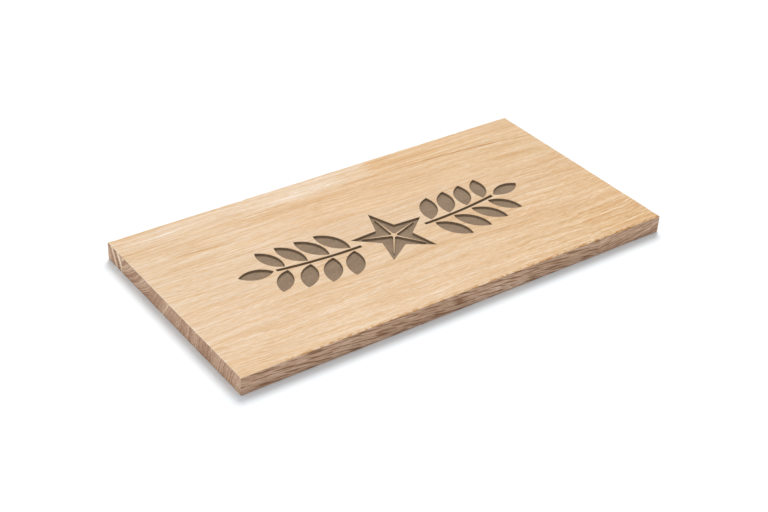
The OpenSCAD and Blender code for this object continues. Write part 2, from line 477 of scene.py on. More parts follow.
PLATE_C = [((mmbox(n)[0][0] + mmbox(n)[1][0]) / 2, (mmbox(n)[0][1] + mmbox(n)[1][1]) / 2) for n in ("hanger_plate_left", "hanger_plate_right")]
PLATE_LO, PLATE_HI = mmbox("hanger_plate_left")
PLATE_L, PLATE_W = PLATE_HI[0] - PLATE_LO[0], PLATE_HI[1] - PLATE_LO[1]
Z_P0, Z_P1 = PLATE_LO[2], PLATE_HI[2]
PLATE_GAP, ENTRY_R, SLOT_W, TRAVEL, POCKET = 0.15, 4.5, 5.0, 8.0, 6.5
ENTRY_Y, SEAT_Y, SCREW_X = -TRAVEL / 2 + 0.5, TRAVEL / 2 + 0.5, PLATE_L / 2 - 5.5
SHANK_R, HEAD_R = 1.25, 3.0


def arc(cx, cy, r, a0, a1, n):
    return [(cx + r * math.cos(math.radians(a0 + (a1 - a0) * k / n)), cy + r * math.sin(math.radians(a0 + (a1 - a0) * k / n))) for k in range(n + 1)]


def plate_outline(grow=0.0):
    r = 3 + grow
    x, y = PLATE_L / 2 - 3, PLATE_W / 2 - 3
    return arc(x, -y, r, -90, 0, 8) + arc(x, y, r, 0, 90, 8) + arc(-x, y, r, 90, 180, 8) + arc(-x, -y, r, 180, 270, 8)


def keyhole_outline(grow=0.0):
    r, h = ENTRY_R + grow, SLOT_W / 2 + grow
    a = math.degrees(math.acos(h / r))
    return arc(0, ENTRY_Y, r, 180 - a, 360 + a, 40) + arc(0, SEAT_Y, h, 0, 180, 20)


def pocket_outline():
    r = ENTRY_R + 0.5
    return arc(0, ENTRY_Y, r, 180, 360, 20) + arc(0, SEAT_Y, r, 0, 180, 20)


def circle_outline(x, y, r, n=24):
    return arc(x, y, r, 0, 360, n)[:-1]


bot_in, bot_tag = [], []
for k, p in enumerate(outline_xy(E_BOT)):
    bot_in.append(tuple(p))
    bot_tag.append(("o", k))
for v in seam_verts:
    bot_in.append(tuple(TV[v]))
    bot_tag.append(("s", v))
place = {("o", k): k for k in range(n_out)}
place.update({("s", v): n_out + k for k, v in enumerate(seam_verts)})


def tag_of(v):
    return ("o", t_outer[v]) if v in t_outer else ("s", v)


bot_edges = loop_edges(0, n_out) + [(place[tag_of(a)], place[tag_of(b)]) for a, b in seam_edges if a < b]
POCKETS = []  # (outline, depth) in order from shallow to deep
for cx, cy in PLATE_C:
    move = lambda pts: [(x + cx, y + cy) for x, y in pts]
    POCKETS.append((move(plate_outline(PLATE_GAP)), Z_P1))
    POCKETS.append((move(pocket_outline()), POCKET))
    for s in (-1, 1):
        POCKETS.append((move(circle_outline(s * SCREW_X, 0, SHANK_R)), Z_P0 + 8.0))
for pts, depth in POCKETS:
    first = len(bot_in)
    bot_in += pts
    bot_tag += [None] * len(pts)
    bot_edges += loop_edges(first, len(pts))
BV, BF, b_orig = cdt(bot_in, bot_edges)
b_tag = {}
for k, o in enumerate(b_orig):
    for q in o:
        if bot_tag[q] is not None:
            b_tag[k] = bot_tag[q]
BF = within_outline(BF, b_orig)
centres = BV[BF].mean(1)
b_stave = stave_of(centres)
b_depth = np.zeros(len(BF))
for pts, depth in POCKETS:
    b_depth = np.where(inside(np.array(pts), centres), depth, b_depth)

# ------------------------------------------------------------------ staves

SLOT_FACE, SLOT_SIDE, SLOT_END, SLOT_RECESS, SLOT_INNER = 0, 1, 2, 3, 4
PROFILE = [(1.0, 0.0), (1 - math.sin(math.radians(30)), 1 - math.cos(math.radians(30))), (1 - math.sin(math.radians(60)), 1 - math.cos(math.radians(60))), (0.0, 1.0)]


def profile_points(k):
    """The chain of points down the outside at place k of the outline, less its first and last, which the caps hold."""
    x, y, ix, iy, side, s = OUTLINE[k]
    out = []
    for share, drop in PROFILE[1:]:
        out.append((x + ix * share * E_TOP[k], y + iy * share * E_TOP[k], T - drop * E_TOP[k]))
    for share, drop in PROFILE[1:][::-1]:
        out.append((x + ix * share * E_BOT[k], y + iy * share * E_BOT[k], drop * E_BOT[k]))
    return out


def make_stave(index):
    verts, faces, slots, smooth = [], [], [], []
    ids = {}

    def vid(key, co):
        if key not in ids:
            ids[key] = len(verts)
            verts.append((co[0] * MM, co[1] * MM, co[2] * MM))
        return ids[key]

    def top(v):
        return vid(("t", v), (TV[v][0], TV[v][1], T - (0 if v in t_outer else rim_drop[v])))

    def floor(v):
        return vid(("f", v), (TV[v][0], TV[v][1], Z_FLOOR))

    def low(tag, z=0.0, v=None):
        if tag is None:
            return vid(("b", v, z), (BV[v][0], BV[v][1], z))
        if tag[0] == "o":
            k = tag[1]
            o = OUTLINE[k]
            return vid(("b", tag), (o[0] + o[2] * E_BOT[k], o[1] + o[3] * E_BOT[k], 0.0))
        return vid(("b", tag), (TV[tag[1]][0], TV[tag[1]][1], 0.0))

    def face(loop, slot, soft=False):
        clean = [q for k, q in enumerate(loop) if q != loop[k - 1]]
        if len(clean) >= 3:
            faces.append(clean)
            slots.append(slot)
            smooth.append(soft)

    mine = np.nonzero(t_stave == index)[0]
    edge = {}
    for k in mine:
        for j in range(3):
            edge[(int(TF[k][j]), int(TF[k][(j + 1) % 3]))] = k
    for k in mine:
        t = [int(q) for q in TF[k]]
        if t_recess[k]:
            face([floor(q) for q in t], SLOT_RECESS)
        else:
            soft = any(0 < rim_drop[q] for q in t if q not in t_outer)
            face([top(q) for q in t], SLOT_FACE, soft)
    touches_floor = {q for k in mine if t_recess[k] for q in map(int, TF[k])}
    touches_top = {q for k in mine if not t_recess[k] for q in map(int, TF[k])}

    def chain(v, recess):
        """From the top of the column at v down to the back, in this stave."""
        if v in t_outer:
            k = t_outer[v]
            return [top(v)] + [vid(("p", k, j), co) for j, co in enumerate(profile_points(k))] + [low(("o", k))]
        out = [] if recess else [top(v)]
        if recess or (v in touches_floor):
            out.append(floor(v))
        return out + [low(("s", v))]

    for (a, b), k in edge.items():
        if (b, a) in edge:
            other = edge[(b, a)]
            if not t_recess[k] and t_recess[other]:
                face([top(b), top(a), floor(a), floor(b)], SLOT_RECESS, True)
            continue
        outer = a in t_outer and b in t_outer and (b, a) not in T_EDGE
        if outer:
            ca, cb = chain(a, False), chain(b, False)
            nominal = OUTLINE[t_outer[a]], OUTLINE[t_outer[b]]
            along_x = abs(nominal[0][1] - nominal[1][1]) < 1e-6
            for j in range(len(ca) - 1):
                strip = SLOT_FACE if j < 2 or j >= len(ca) - 3 else (SLOT_SIDE if along_x else SLOT_END)
                face([cb[j], ca[j], ca[j + 1], cb[j + 1]], strip, j != 3)
        else:
            ca, cb = chain(a, bool(t_recess[k])), chain(b, bool(t_recess[k]))
            face(cb[::-1][-1:] + ca + cb[::-1][:-1], SLOT_INNER)

    bedge = {}
    bmine = np.nonzero(b_stave == index)[0]
    for k in bmine:
        for j in range(3):
            bedge[(int(BF[k][j]), int(BF[k][(j + 1) % 3]))] = k
    for k in bmine:
        t = [int(q) for q in BF[k]]
        z = float(b_depth[k])
        face([low(b_tag.get(q), z, q) if z == 0 else low(None, z, q) for q in t][::-1], SLOT_FACE if z == 0 else SLOT_INNER)
    for (a, b), k in bedge.items():
        if (b, a) in bedge:
            z0, z1 = float(b_depth[k]), float(b_depth[bedge[(b, a)]])
            if z0 < z1:
                lo = [low(b_tag.get(q), z0, q) if z0 == 0 else low(None, z0, q) for q in (a, b)]
                face([lo[0], lo[1], low(None, z1, b), low(None, z1, a)], SLOT_INNER, True)
    return verts, faces, slots, smooth


def new_mesh(name, verts, faces, slots, smooth, materials, sharp=38):
    me = bpy.data.meshes.new(name)
    me.from_pydata(verts, [], faces)
    for m in materials:
        me.materials.append(m)
    me.polygons.foreach_set("material_index", slots)
    bm = bmesh.new()
    bm.from_mesh(me)
    bmesh.ops.remove_doubles(bm, verts=bm.verts, dist=1e-7)
    bmesh.ops.recalc_face_normals(bm, faces=bm.faces)
    bm.to_mesh(me)
    bm.free()
    if len(me.polygons) == len(smooth):
        me.polygons.foreach_set("use_smooth", smooth)
    bm = bmesh.new()
    bm.from_mesh(me)
    for e in bm.edges:
        if len(e.link_faces) == 2 and e.calc_face_angle(0) > math.radians(sharp):
            e.smooth = False
    open_edges = sum(len(e.link_faces) != 2 for e in bm.edges)
    volume = bm.calc_volume(signed=True)
    bm.to_mesh(me)
    bm.free()
    print("MESH", name, len(me.vertices), "verts", len(me.polygons), "faces, open edges", open_edges, "volume mm3", round(volume * 1e9, 1))
    ob = bpy.data.objects.new(name, me)
    bpy.context.scene.collection.objects.link(ob)
    return ob


# ------------------------------------------------------------------ materials


def lin(rgb):
    """A colour of 0 to 255 as linear light."""
    return tuple(((c / 255) / 12.92 if c <= 10.3 else ((c / 255 + 0.055) / 1.055) ** 2.4) for c in rgb)


class Tree:
    """Short ways to add shader nodes. Each call gives back an output socket."""

    def __init__(self, name):
        self.mat = bpy.data.materials.new(name)
        self.mat.use_nodes = True
        self.nt = self.mat.node_tree
        self.bsdf = self.nt.nodes["Principled BSDF"]
        c = self.nt.nodes.new("ShaderNodeTexCoord")
        self.mm = self.vec("MULTIPLY", c.outputs["Object"], (1000, 1000, 1000))
        self.x, self.y, self.z = self.split(self.mm)

    def put(self, socket, value):
        if isinstance(value, bpy.types.NodeSocket):
            self.nt.links.new(value, socket)
        elif hasattr(value, "__len__") and socket.type == "RGBA":
            socket.default_value = tuple(value)[:3] + (1,)
        else:
            socket.default_value = value

    def math(self, op, a, b=None, c=None, clamp=False):
        n = self.nt.nodes.new("ShaderNodeMath")
        n.operation = op
        n.use_clamp = clamp
        for k, v in enumerate((a, b, c)):
            if v is not None:
                self.put(n.inputs[k], v)
        return n.outputs[0]

    def add(self, a, b):
        return self.math("ADD", a, b)

    def mul(self, a, b):
        return self.math("MULTIPLY", a, b)

    def vec(self, op, a, b):
        n = self.nt.nodes.new("ShaderNodeVectorMath")
        n.operation = op
        self.put(n.inputs[0], a)
        self.put(n.inputs[1], b)
        return n.outputs[0]

    def split(self, v):
        n = self.nt.nodes.new("ShaderNodeSeparateXYZ")
        self.put(n.inputs[0], v)
        return n.outputs[0], n.outputs[1], n.outputs[2]

    def join(self, x, y, z):
        n = self.nt.nodes.new("ShaderNodeCombineXYZ")
        for k, v in enumerate((x, y, z)):
            self.put(n.inputs[k], v)
        return n.outputs[0]

    def noise(self, v, detail=2.0, rough=0.5, distort=0.0):
        """Noise of about 0.5, of unit scale: the vector carries the scale."""
        n = self.nt.nodes.new("ShaderNodeTexNoise")
        n.noise_dimensions = "3D"
        self.put(n.inputs["Vector"], v)
        n.inputs["Scale"].default_value = 1.0
        n.inputs["Detail"].default_value = detail
        n.inputs["Roughness"].default_value = rough
        n.inputs["Distortion"].default_value = distort
        return n.outputs["Fac"]

    def stretch(self, sx, sy, sz, seed=0.0, v=None):
        """The position divided by these lengths in millimetres, and moved by a seed."""
        out = self.vec("MULTIPLY", v or self.mm, (1 / sx, 1 / sy, 1 / sz))
        return self.vec("ADD", out, (seed * 3.71, seed * 7.13 + 2.3, seed * 1.37))

    def ramp(self, v, a, b, lo=0.0, hi=1.0, smooth=True):
        n = self.nt.nodes.new("ShaderNodeMapRange")
        n.interpolation_type = "SMOOTHSTEP" if smooth else "LINEAR"
        n.clamp = True
        self.put(n.inputs["Value"], v)
        for key, q in (("From Min", a), ("From Max", b), ("To Min", lo), ("To Max", hi)):
            self.put(n.inputs[key], q)
        return n.outputs["Result"]

    def mix(self, fac, a, b, kind="MIX"):
        n = self.nt.nodes.new("ShaderNodeMix")
        n.data_type = "RGBA"
        n.blend_type = kind
        self.put(n.inputs[0], fac)
        self.put(n.inputs[6], a)
        self.put(n.inputs[7], b)
        return n.outputs[2]

    def curve(self, x, points, x0, x1, y0, y1):
        """A smooth curve through points, as a function of x: outside them it keeps its end values."""
        n = self.nt.nodes.new("ShaderNodeFloatCurve")
        m = n.mapping
        m.use_clip = True
        c = m.curves[0]
        pts = [((px - x0) / (x1 - x0), (py - y0) / (y1 - y0)) for px, py in points]
        if pts[0][0] > 0.001:
            pts = [(0.0, pts[0][1])] + pts
        if pts[-1][0] < 0.999:
            pts = pts + [(1.0, pts[-1][1])]
        c.points[0].location = pts[0]
        c.points[1].location = pts[-1]
        for q in pts[1:-1]:
            c.points.new(*q)
        m.update()
        self.put(n.inputs["Value"], self.ramp(x, x0, x1, smooth=False))
        return self.ramp(n.outputs[0], 0, 1, y0, y1, smooth=False)

    def stroke(self, points, width, soft=0.5, rough=0.35, seed=1.0, broken=0.0):
        """A line drawn along the grain through (x, y, strength) points, in millimetres."""
        xs = [q[0] for q in points]
        x0, x1 = min(xs) - 8, max(xs) + 8
        ys = [q[1] for q in points]
        y0, y1 = min(ys) - 1, max(ys) + 1
        mid = self.curve(self.x, [(q[0], q[1]) for q in points], x0, x1, y0, y1)
        power = self.curve(self.x, [(xs[0] - 7, 0.0)] + [(q[0], q[2]) for q in points] + [(xs[-1] + 7, 0.0)], x0, x1, 0.0, 1.0)
        wave = self.mul(self.add(self.noise(self.stretch(9, 40, 40, seed), 2), -0.5), 1.6 * rough)
        off = self.math("ABSOLUTE", self.add(self.math("SUBTRACT", self.y, mid), wave))
        wide = self.mul(self.add(self.noise(self.stretch(6, 60, 60, seed + 5), 2), 0.5), width / 2)
        body = self.math("SUBTRACT", 1.0, self.ramp(off, self.mul(wide, 1 - soft), self.mul(wide, 1 + soft)))
        if broken:
            body = self.mul(body, self.ramp(self.noise(self.stretch(5, 3, 3, seed + 9), 3), 0.5 - 0.25 * (1 - broken) - 0.1, 0.5 + 0.1))
        return self.mul(body, power)

    def bump(self, height, distance):
        n = self.nt.nodes.new("ShaderNodeBump")
        n.inputs["Strength"].default_value = 1.0
        n.inputs["Distance"].default_value = distance
        self.put(n.inputs["Height"], height)
        self.nt.links.new(n.outputs[0], self.bsdf.inputs["Normal"])

    def finish(self, colour, rough, spec=0.35, metal=0.0):
        self.put(self.bsdf.inputs["Base Color"], colour)
        self.put(self.bsdf.inputs["Roughness"], rough)
        self.bsdf.inputs["Specular IOR Level"].default_value = spec
        self.bsdf.inputs["Metallic"].default_value = metal
        return self.mat


# Per stave: its colour at three places along its length, those places in mm, ring lean in degrees, ring spacing, drift
# of the rings per mm of length, seed. The staves differ from one another in the wood's own tone; the change along every
# stave, from paler at the left end to more orange at the right, is painted light for how the light falls across the
# board.
LOOK = {
    "top_stave_left": ((237, 209, 178), (238, 210, 179), (234, 201, 163), (-138, -5, 30), 6, 3.4, 0.012, 1.0),
    "top_stave_right": ((233, 194, 148), (233, 196, 153), (231, 196, 155), (30, 90, 145), -10, 4.6, -0.020, 2.0),
    "upper_stave": ((235, 206, 173), (234, 198, 158), (229, 193, 149), (-138, 0, 140), 34, 5.2, 0.010, 3.0),
    "middle_stave": ((235, 206, 173), (233, 202, 168), (229, 192, 149), (-138, 0, 140), 27, 4.4, -0.006, 4.0),
    "lower_stave": ((235, 203, 168), (232, 199, 161), (230, 191, 146), (-138, 0, 140), 15, 5.6, 0.008, 5.0),
    "bottom_stave_left": ((235, 203, 167), (235, 202, 165), (231, 195, 151), (-138, 10, 104), 22, 4.2, 0.045, 6.0),
    "bottom_stave_right": ((231, 193, 147), (230, 191, 144), (227, 187, 139), (104, 120, 145), -16, 3.8, -0.040, 7.0),
}
GAIN = (0.873, 0.811, 0.740)

# Lines of the figure seen on the face: stave, kind, width, how broken, points (x, y, strength).
STROKES = [
    ("top_stave_left", "pale", 0.8, 0.2, [(-110, 58.6, 0.2), (-60, 59.8, 0.5), (-30, 61.5, 0.8), (0, 63.0, 1.0), (24, 62.2, 1.0)]),
    ("top_stave_right", "pale", 0.9, 0.1, [(34, 61.4, 1.0), (70, 60.6, 0.9), (110, 59.8, 1.0), (130, 59.1, 0.9), (148, 58.2, 0.5)]),
    ("top_stave_left", "tan", 1.4, 0.2, [(-149, 73.4, 0.6), (-100, 73.6, 0.8), (-40, 73.2, 0.5), (0, 73.3, 0.9), (22, 73.2, 0.9)]),
    ("top_stave_left", "tan", 1.4, 0.1, [(-149, 68.6, 1.0), (-130, 68.4, 0.8), (-112, 68.4, 0.4)]),
    ("top_stave_left", "pale", 1.2, 0.1, [(-149, 65.5, 0.8), (-112, 65.3, 0.7)]),
    ("top_stave_left", "tan", 1.4, 0.2, [(-65, 71.0, 0.7), (-20, 71.2, 0.8)]),
    ("top_stave_left", "pale", 3.6, 0.2, [(-62, 66.5, 0.3), (-25, 66.5, 0.5), (4, 67.2, 0.7), (24, 67.0, 0.8)]),
    ("top_stave_right", "tan", 2.6, 0.0, [(34, 72.2, 1.0), (46, 72.0, 0.7)]),
    ("top_stave_right", "tan", 2.8, 0.1, [(42, 66.2, 0.8), (76, 65.6, 0.8)]),
    ("upper_stave", "brown", 1.1, 0.0, [(-149, 56.9, 1.0), (-140, 56.7, 0.8), (-115, 57.0, 0.5)]),
    ("upper_stave", "brown", 1.0, 0.1, [(-94, 57.0, 0.5), (-65, 56.9, 1.0), (-50, 56.9, 1.0), (-38, 57.1, 0.5)]),
    ("upper_stave", "brown", 0.9, 0.0, [(8, 57.2, 0.9), (26, 57.1, 0.9)]),
    ("upper_stave", "tan", 1.3, 0.1, [(-66, 50.6, 0.9), (-20, 50.4, 0.9)]),
    ("upper_stave", "tan", 1.1, 0.1, [(-148, 28.0, 0.9), (-117, 28.1, 0.8)]),
    ("middle_stave", "pale", 1.0, 0.1, [(-149, 19.5, 0.8), (-130, 19.6, 0.7)]),
    ("upper_stave", "dark", 1.2, 0.0, [(40, 56.8, 0.3), (66, 56.1, 0.9), (85, 54.9, 1.0), (105, 53.2, 0.9), (125, 51.0, 0.6), (148, 47.6, 0.5)]),
    ("upper_stave", "pale", 0.8, 0.1, [(60, 57.4, 0.6), (90, 56.2, 0.8), (110, 54.4, 0.6), (130, 52.2, 0.3)]),
    ("upper_stave", "pale", 0.8, 0.1, [(112, 49.2, 0.6), (130, 47.6, 0.8), (148, 45.2, 0.6)]),
    ("upper_stave", "tan", 6.0, 0.0, [(-75, 51.5, 0.5), (-40, 51.0, 0.8), (0, 50.5, 0.6)]),
    ("upper_stave", "dark", 0.9, 0.0, [(-121, 40.2, 0.7), (-112, 39.5, 1.0), (-103, 38.6, 1.0), (-90, 38.0, 0.3)]),
    ("upper_stave", "pale", 0.8, 0.0, [(-116, 36.6, 0.8), (-95, 35.9, 1.0), (-78, 35.0, 0.7)]),
    ("upper_stave", "tan", 1.2, 0.0, [(-150, 39.8, 0.9), (-135, 39.4, 0.8), (-122, 39.6, 0.6)]),
    ("bottom_stave_right", "brown", 0.9, 0.2, [(107, -58.7, 0.5), (125, -60.2, 0.8), (148, -62.2, 0.6)]),
    ("lower_stave", "brown", 0.9, 0.2, [(98, -42.3, 0.6), (110, -42.0, 0.9), (122, -42.2, 0.5)]),
    ("bottom_stave_left", "pale", 0.7, 0.1, [(64, -57.2, 0.6), (85, -59.0, 0.9), (100, -60.5, 0.5)]),
    ("bottom_stave_left", "pale", 0.9, 0.0, [(42, -71.6, 0.8), (59, -71.3, 0.8)]),
    ("bottom_stave_left", "pale", 0.6, 0.2, [(-149, -45.2, 0.9), (-142, -44.9, 0.9)]),
    ("bottom_stave_left", "pale", 0.6, 0.2, [(-88, -44.8, 0.9), (-78, -44.6, 0.9)]),
    ("lower_stave", "pale", 0.6, 0.2, [(-65, -43.0, 0.9), (-50, -42.7, 0.9)]),
    ("bottom_stave_left", "pale", 0.6, 0.3, [(-146, -55.9, 0.9), (-134, -55.3, 1.0), (-123, -55.1, 0.8)]),
    ("bottom_stave_left", "pale", 0.6, 0.2, [(-72, -67.0, 0.9), (-65, -66.8, 0.8)]),
    ("bottom_stave_right", "orange", 2.2, 0.3, [(123, -63.9, 0.6), (136, -65.0, 0.9), (148, -66.2, 0.8)]),
    ("bottom_stave_right", "orange", 1.8, 0.3, [(118, -68.6, 0.5), (133, -69.4, 0.9), (148, -70.2, 0.7)]),
]
TINT = {"pale": 0.14, "brown": -0.30, "dark": -0.44, "tan": -0.13, "orange": -0.22}  # what a full stroke adds to the figure
# The front edge's colours (left and right) and the end grain's are darker than the face's: partly the wood's own sawn
# and end grain, partly painted shade for the faces turned away from the key light. The back edge's colour is lighter.
SIDE_BASE = {"left": (0.5276, 0.3112, 0.1912), "right": (0.5386, 0.3173, 0.1937), "back": (0.560, 0.362, 0.232)}
END_BASE = (0.5655, 0.3347, 0.2108)
# End grain: how far the rings lean from upright, in degrees, and how much more they lean towards the back
END_LEAN = {
    "top_stave_left": (-27, 0.0), "top_stave_right": (-27, 0.0), "upper_stave": (44, 0.022), "middle_stave": (30, 0.010),
    "lower_stave": (14, 0.0), "bottom_stave_left": (22, 0.0), "bottom_stave_right": (-16, 0.0),
}
# Broad bands on the end grain: place across the rings in mm, half width, how much lighter or darker
END_BANDS = {
    "top_stave_left": ((50.6, 2.0, 0.85), (54.2, 1.9, -0.42), (57.4, 1.7, 0.62), (60.4, 1.6, -0.40), (62.9, 1.0, 0.25)),
    "top_stave_right": ((52.4, 1.9, 0.45), (55.6, 1.6, -0.30), (60.0, 1.7, 0.45)),
}
# Figure strength: rings, dashes, broad bands, waviness in mm
FIGURE = {
    "top_stave_left": (1.0, 1.0, 1.0, 0.5), "top_stave_right": (1.0, 0.8, 1.1, 0.5), "upper_stave": (1.0, 0.9, 1.1, 0.6),
    "middle_stave": (0.95, 0.95, 0.9, 0.8), "lower_stave": (1.0, 1.0, 0.85, 1.1), "bottom_stave_left": (1.0, 1.1, 0.9, 1.5),
    "bottom_stave_right": (1.45, 1.2, 1.4, 1.0),
}


def oak(stave, kind):
    near_c, mid_c, far_c, along, lean, spacing, drift, seed = LOOK[stave]
    k_ring, k_dash, k_broad, wavy = FIGURE[stave]
    t = Tree("oak_" + stave + "_" + kind)
    c, s = math.cos(math.radians(lean)), math.sin(math.radians(lean))

    def centred(v, weight):
        return t.mul(t.add(v, -0.5), weight)

    def total(*parts):
        out = parts[0]
        for q in parts[1:]:
            out = t.add(out, q)
        return out

    def tinted(base, v, k):
        """The base colour times e to the power v, by k in each channel."""
        f = t.join(*[t.math("EXPONENT", t.mul(v, q)) for q in k])
        return t.mix(1.0, base, f, "MULTIPLY")

    # growth rings: nearly flat sheets that lean, drift and sway along the length
    sway = centred(t.noise(t.stretch(150, 60, 60, seed), 2), 16.0)
    small = centred(t.noise(t.stretch(38, 14, 14, seed + 3), 2), 2.6 + 1.5 * wavy)
    wave = centred(t.noise(t.stretch(13, 5, 5, seed + 6), 1), 1.6 * wavy)
    u = total(t.mul(t.y, c), t.mul(t.z, s), t.mul(t.x, drift), sway, small)
    uw = t.add(u, wave)
    yw = t.add(t.y, t.add(wave, t.mul(t.add(sway, small), 0.4)))
    if kind == "face":
        ring = t.noise(t.join(t.math("DIVIDE", t.x, 48), t.math("DIVIDE", uw, 1.15), seed * 5.3), 2, 0.5)
        coarse = t.noise(t.join(t.math("DIVIDE", t.x, 110), t.math("DIVIDE", u, spacing * 0.85), seed * 2.3), 2, 0.55)
        dash = t.noise(t.join(t.math("DIVIDE", t.x, 7.5), t.math("DIVIDE", yw, 0.75), seed + 11), 2, 0.55)
        fibre = t.noise(t.join(t.math("DIVIDE", t.x, 3.2), t.math("DIVIDE", yw, 0.36), seed + 13), 1, 0.5)
        patch = t.noise(t.stretch(26, 4.5, 4.5, seed + 15), 2)
        broad = t.noise(t.stretch(90, 11, 11, seed + 17), 2)
        pore = t.noise(t.join(t.math("DIVIDE", t.x, 4.6), t.math("DIVIDE", yw, 0.42), seed + 23), 2, 0.55)
        pores = t.mul(t.ramp(pore, 0.61, 0.70), t.ramp(ring, 0.50, 0.36))
        fleck = t.ramp(t.noise(t.join(t.math("DIVIDE", t.x, 9.0), t.math("DIVIDE", yw, 0.70), seed + 29), 2, 0.5), 0.61, 0.69)
        v = total(
            centred(ring, 0.68 * k_ring), centred(coarse, 0.28 * k_ring), centred(dash, 0.50 * k_dash), centred(fibre, 0.40 * k_dash),
            centred(patch, 0.15 * k_broad), centred(broad, 0.16 * k_broad), t.mul(pores, -0.20), t.mul(fleck, 0.12 * wavy),
        )
        up = t.ramp(t.z, 9.0, 10.5)
        for k, (where, what, width, broken, points) in enumerate(STROKES):
            if where == stave:
                v = t.add(v, t.mul(t.mul(t.stroke(points, width, seed=k * 1.7 + 0.3, broken=broken), up), TINT[what]))
        if stave.startswith("bottom"):  # small torn spots along the front edge
            spots = t.ramp(t.noise(t.join(t.math("DIVIDE", t.x, 3.6), t.math("DIVIDE", t.y, 1.6), seed), 2, 0.6), 0.47, 0.58)
            v = t.add(v, t.mul(t.mul(t.mul(spots, t.ramp(t.y, -72.3, -74.3)), t.mul(up, t.ramp(t.x, -136, -108))), -0.56))
        c0, c1, c2 = (tuple(q * g for q, g in zip(lin(k), GAIN)) for k in (near_c, mid_c, far_c))
        # painted light: the face colour runs from paler at the left end to more orange at the right
        base = t.mix(t.ramp(t.x, along[0], along[1], smooth=False), c0, c1)
        base = t.mix(t.ramp(t.x, along[1], along[2], smooth=False), base, c2)
        hue = centred(t.noise(t.join(t.math("DIVIDE", t.x, 32), t.math("DIVIDE", yw, 1.7), seed + 37), 2), 0.5)
        base = t.mix(1.0, base, t.join(t.math("EXPONENT", t.mul(hue, 0.22)), 1.0, t.math("EXPONENT", t.mul(hue, -0.42))), "MULTIPLY")
        v = t.mul(v, t.ramp(t.x, 0, 140, 1.0, 1.27))  # the figure is stronger towards the right
        v = t.add(v, t.mul(t.ramp(t.x, -149.1, -149.6), 0.16))  # painted highlight: the left arris of the face made paler, where the eased edge catches the light
        colour = tinted(base, v, (0.48, 1.0, 1.84))
        t.bump(total(t.mul(fibre, 0.4), t.mul(dash, 0.5), t.mul(pores, -0.8)), 0.00004)
        rough = t.ramp(dash, 0.3, 0.7, 0.60, 0.50)
    elif kind == "side":
        # long side: the rings run out through the edge as slanted lens-shaped marks
        near = stave == "bottom_stave_right"
        a = math.atan(0.16 if near else -0.135)
        bend = centred(t.noise(t.stretch(42, 50, 12, seed + 1), 1), 2.2)
        u2 = t.add(t.mul(t.x, math.cos(a)), t.mul(t.z, math.sin(a)))
        v2 = total(t.mul(t.x, -math.sin(a)), t.mul(t.z, math.cos(a)), bend)
        fine = 0.78 if near else 1.0
        lens = t.noise(t.join(t.math("DIVIDE", u2, 14), t.math("DIVIDE", v2, 1.15 * fine), seed), 0.6, 0.4)
        line = t.noise(t.join(t.math("DIVIDE", u2, 9), t.math("DIVIDE", v2, 0.66 * fine), seed + 4), 2.0, 0.55)
        grit = t.noise(t.join(t.math("DIVIDE", u2, 3.6), t.math("DIVIDE", v2, 0.46), seed + 5), 2.0, 0.55)
        broad = t.noise(t.join(t.math("DIVIDE", t.x, 42), t.math("DIVIDE", v2, 5.0), seed + 8), 2.0, 0.5)
        long = t.noise(t.join(t.math("DIVIDE", t.x, 70), t.math("DIVIDE", t.z, 2.6), seed + 9), 1.0, 0.5)
        v = total(
            t.mul(t.ramp(lens, 0.53, 0.61), -0.55 if near else -0.88), centred(line, 2.2 if near else 1.35), centred(grit, 0.95), centred(broad, 0.9), centred(long, 0.7), 0.20,
        )
        where = "right" if near else "left"
        if stave.startswith("top"):  # the back edge is in full light: a calmer figure
            where, v = "back", t.mul(v, 0.6)
        colour = tinted(SIDE_BASE[where], v, (0.74, 1.0, 1.31))
        t.bump(t.add(t.mul(grit, 0.5), t.mul(line, 0.6)), 0.00008)
        rough = t.ramp(line, 0.3, 0.7, 0.68, 0.56)
    else:
        # end grain: the rings in section, with open pores and rays across them
        tilt, hook = END_LEAN[stave]
        ec, es = math.cos(math.radians(tilt)), math.sin(math.radians(tilt))
        drop = t.math("SUBTRACT", 11.5, t.z)
        un = total(t.mul(t.y, ec), t.mul(t.z, es), t.mul(t.mul(drop, drop), -hook), centred(t.noise(t.stretch(60, 12, 12, seed + 2), 2), 3.0))
        ring = t.noise(t.join(seed * 4.1, t.math("DIVIDE", un, spacing * (0.42 if stave.startswith("top") else 0.26)), 0.0), 2, 0.6)
        broad = t.noise(t.join(seed * 6.1, t.math("DIVIDE", un, spacing * 1.3), 0.0), 2, 0.5)
        dots = t.noise(t.stretch(3, 0.85, 0.85, seed + 31), 2, 0.6)
        ray = t.noise(t.join(t.math("DIVIDE", t.x, 40), t.math("DIVIDE", total(t.mul(t.y, -es), t.mul(t.z, ec)), 0.7), t.math("DIVIDE", un, 8.0)), 2, 0.5)
        strong = 1.0 if stave.startswith("top") else (1.4 if stave == "upper_stave" else 1.1)
        bands = 0.0
        for at, wide, amount in END_BANDS.get(stave, ()):
            off = t.math("ABSOLUTE", t.math("SUBTRACT", un, at))
            bands = t.add(bands, t.mul(t.ramp(off, wide, wide * 0.3), amount))
        v = total(bands, centred(ring, 1.75 * strong), centred(broad, 0.9 * strong), centred(dots, 2.1), centred(ray, 0.6), t.mul(t.ramp(dots, 0.60, 0.68), -0.25), 0.04)
        colour = tinted(END_BASE, v, (0.68, 1.0, 1.17))
        t.bump(t.add(t.mul(dots, 0.6), t.mul(ring, 0.4)), 0.00010)
        rough = t.ramp(dots, 0.3, 0.7, 0.72, 0.58)
    return t.finish(colour, rough)


